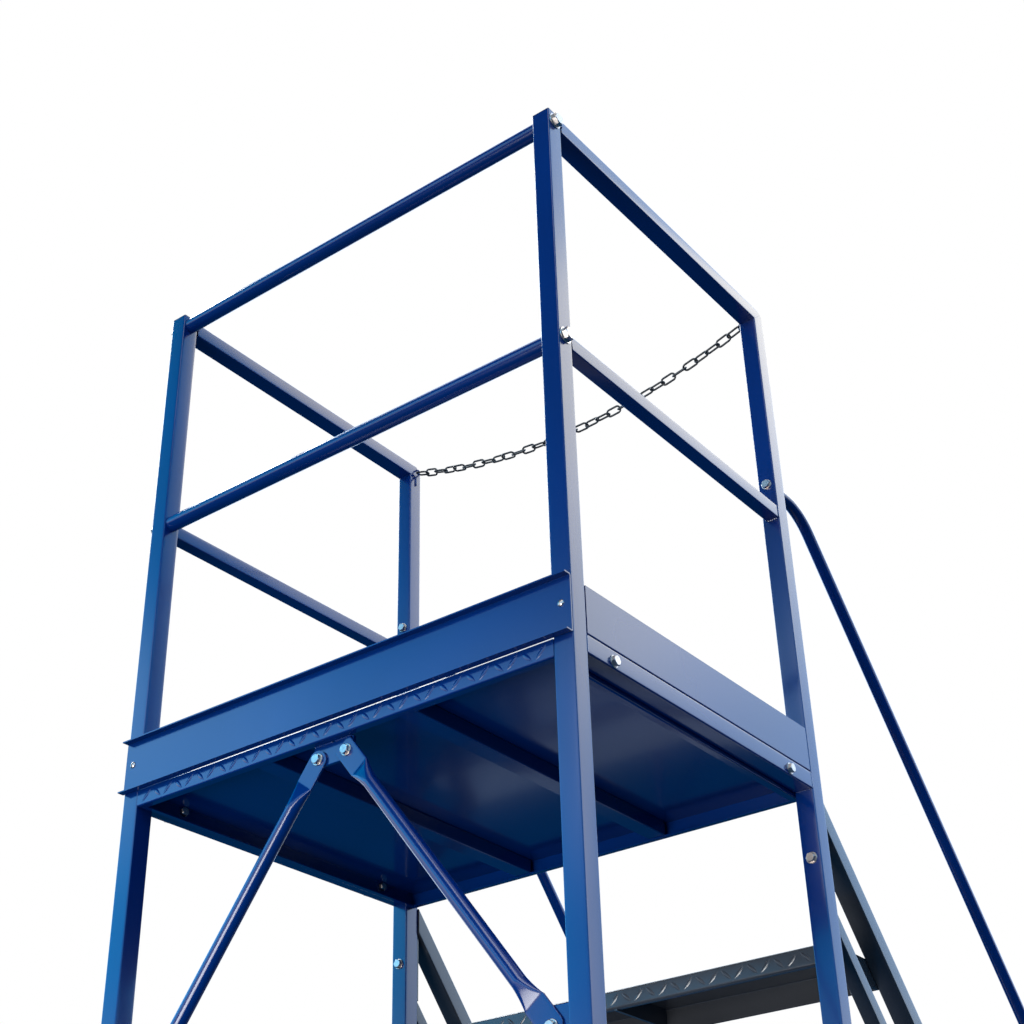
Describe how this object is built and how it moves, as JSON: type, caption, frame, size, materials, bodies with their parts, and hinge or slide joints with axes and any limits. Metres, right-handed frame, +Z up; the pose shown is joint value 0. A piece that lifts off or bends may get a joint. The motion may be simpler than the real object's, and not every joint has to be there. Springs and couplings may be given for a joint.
{
  "type": "warehouse step ladder",
  "caption": "Wheeled warehouse step ladder: a steep flight of treads with handrails up to a guarded platform with toe boards, a safety chain across the entry and braked castors.",
  "frame": {"origin": "middle of the footprint on the floor", "axes": "+Z up, +Y from the foot of the flight to the back of the platform, +X to the climber's right"},
  "size_m": [1.101, 3.0212, 3.867],
  "materials": {
    "blue_paint": "gloss powder coat",
    "charcoal_paint": "gloss powder coat",
    "zinc_steel": "bright zinc plate",
    "chain_steel": "dark steel",
    "tyre_rubber": "matt",
    "wheel_plastic": "moulded",
    "pedal_plastic": "moulded",
    "cap_plastic": "moulded"
  },
  "bodies": {
    "frame": {"back_mid_rail": "blue_paint", "back_post_left": "blue_paint", "back_post_right": "blue_paint", "back_toe_board": "blue_paint", "back_top_rail": "blue_paint", "base_cross_tubes": "blue_paint", "base_rails": "blue_paint", "brace_bracket": "blue_paint", "brace_left": "blue_paint", "brace_lugs": "blue_paint", "brace_right": "blue_paint", "castor_bolts": "zinc_steel", "castor_pads": "blue_paint", "chain_eyes": "blue_paint", "deck": "blue_paint", "deck_ribs": "blue_paint", "fixed_castor_axles": "zinc_steel", "fixed_castor_brackets": "zinc_steel", "frame_bolts": "zinc_steel", "frame_nuts": "zinc_steel", "front_post_left": "blue_paint", "front_post_right": "blue_paint", "handrail_left": "blue_paint", "handrail_right": "blue_paint", "handrail_stanchions": "blue_paint", "rail_bolts": "zinc_steel", "side_beams": "blue_paint", "side_mid_rails": "blue_paint", "side_ties": "blue_paint", "side_toe_boards": "blue_paint", "side_top_rails": "blue_paint", "stringer_hangers": "charcoal_paint", "stringer_lower_bars": "charcoal_paint", "stringer_upper_bars": "charcoal_paint", "swivel_plates": "zinc_steel", "toe_board_screws": "zinc_steel", "tread_1": "charcoal_paint", "tread_2": "charcoal_paint", "tread_3": "charcoal_paint", "tread_4": "charcoal_paint", "tread_5": "charcoal_paint", "tread_6": "charcoal_paint", "tread_7": "charcoal_paint", "tread_8": "charcoal_paint", "tube_caps": "cap_plastic"},
    "chain": {"chain_links": "chain_steel"},
    "castor_right": {"castor_fork_right": "zinc_steel", "castor_axle_right": "zinc_steel"},
    "castor_left": {"castor_fork_left": "zinc_steel", "castor_axle_left": "zinc_steel"},
    "pedal_right": {"brake_pedal_right": "pedal_plastic"},
    "pedal_left": {"brake_pedal_left": "pedal_plastic"},
    "wheel_front_right": {"wheel_core_front_right": "wheel_plastic", "tyre_front_right": "tyre_rubber"},
    "wheel_front_left": {"wheel_core_front_left": "wheel_plastic", "tyre_front_left": "tyre_rubber"},
    "wheel_back_right": {"wheel_core_back_right": "wheel_plastic", "tyre_back_right": "tyre_rubber"},
    "wheel_back_left": {"wheel_core_back_left": "wheel_plastic", "tyre_back_left": "tyre_rubber"}
  },
  "joints": [
    {"name": "chain_swing", "type": "hinge", "parent": "frame", "child": "chain", "pos_m": [0, 0.6756, 3.836], "axis": [1, 0, 0], "range_deg": [-35, 35]},
    {"name": "castor_swivel_right", "type": "hinge", "parent": "frame", "child": "castor_right", "pos_m": [0.4875, -1.3536, 0.135], "axis": [0, 0, 1], "continuous": true},
    {"name": "front_wheel_spin_right", "type": "hinge", "parent": "castor_right", "child": "wheel_front_right", "pos_m": [0.4875, -1.3916, 0.0625], "axis": [1, 0, 0], "continuous": true},
    {"name": "brake_pedal_right", "type": "hinge", "parent": "castor_right", "child": "pedal_right", "pos_m": [0.4875, -1.4496, 0.1025], "axis": [-1, 0, 0], "range_deg": [0, 20]},
    {"name": "back_wheel_spin_right", "type": "hinge", "parent": "frame", "child": "wheel_back_right", "pos_m": [0.4875, 1.4386, 0.0625], "axis": [1, 0, 0], "continuous": true},
    {"name": "castor_swivel_left", "type": "hinge", "parent": "frame", "child": "castor_left", "pos_m": [-0.4875, -1.3536, 0.135], "axis": [0, 0, 1], "continuous": true},
    {"name": "front_wheel_spin_left", "type": "hinge", "parent": "castor_left", "child": "wheel_front_left", "pos_m": [-0.4875, -1.3916, 0.0625], "axis": [1, 0, 0], "continuous": true},
    {"name": "brake_pedal_left", "type": "hinge", "parent": "castor_left", "child": "pedal_left", "pos_m": [-0.4875, -1.4496, 0.1025], "axis": [-1, 0, 0], "range_deg": [0, 20]},
    {"name": "back_wheel_spin_left", "type": "hinge", "parent": "frame", "child": "wheel_back_left", "pos_m": [-0.4875, 1.4386, 0.0625], "axis": [1, 0, 0], "continuous": true}
  ]
}
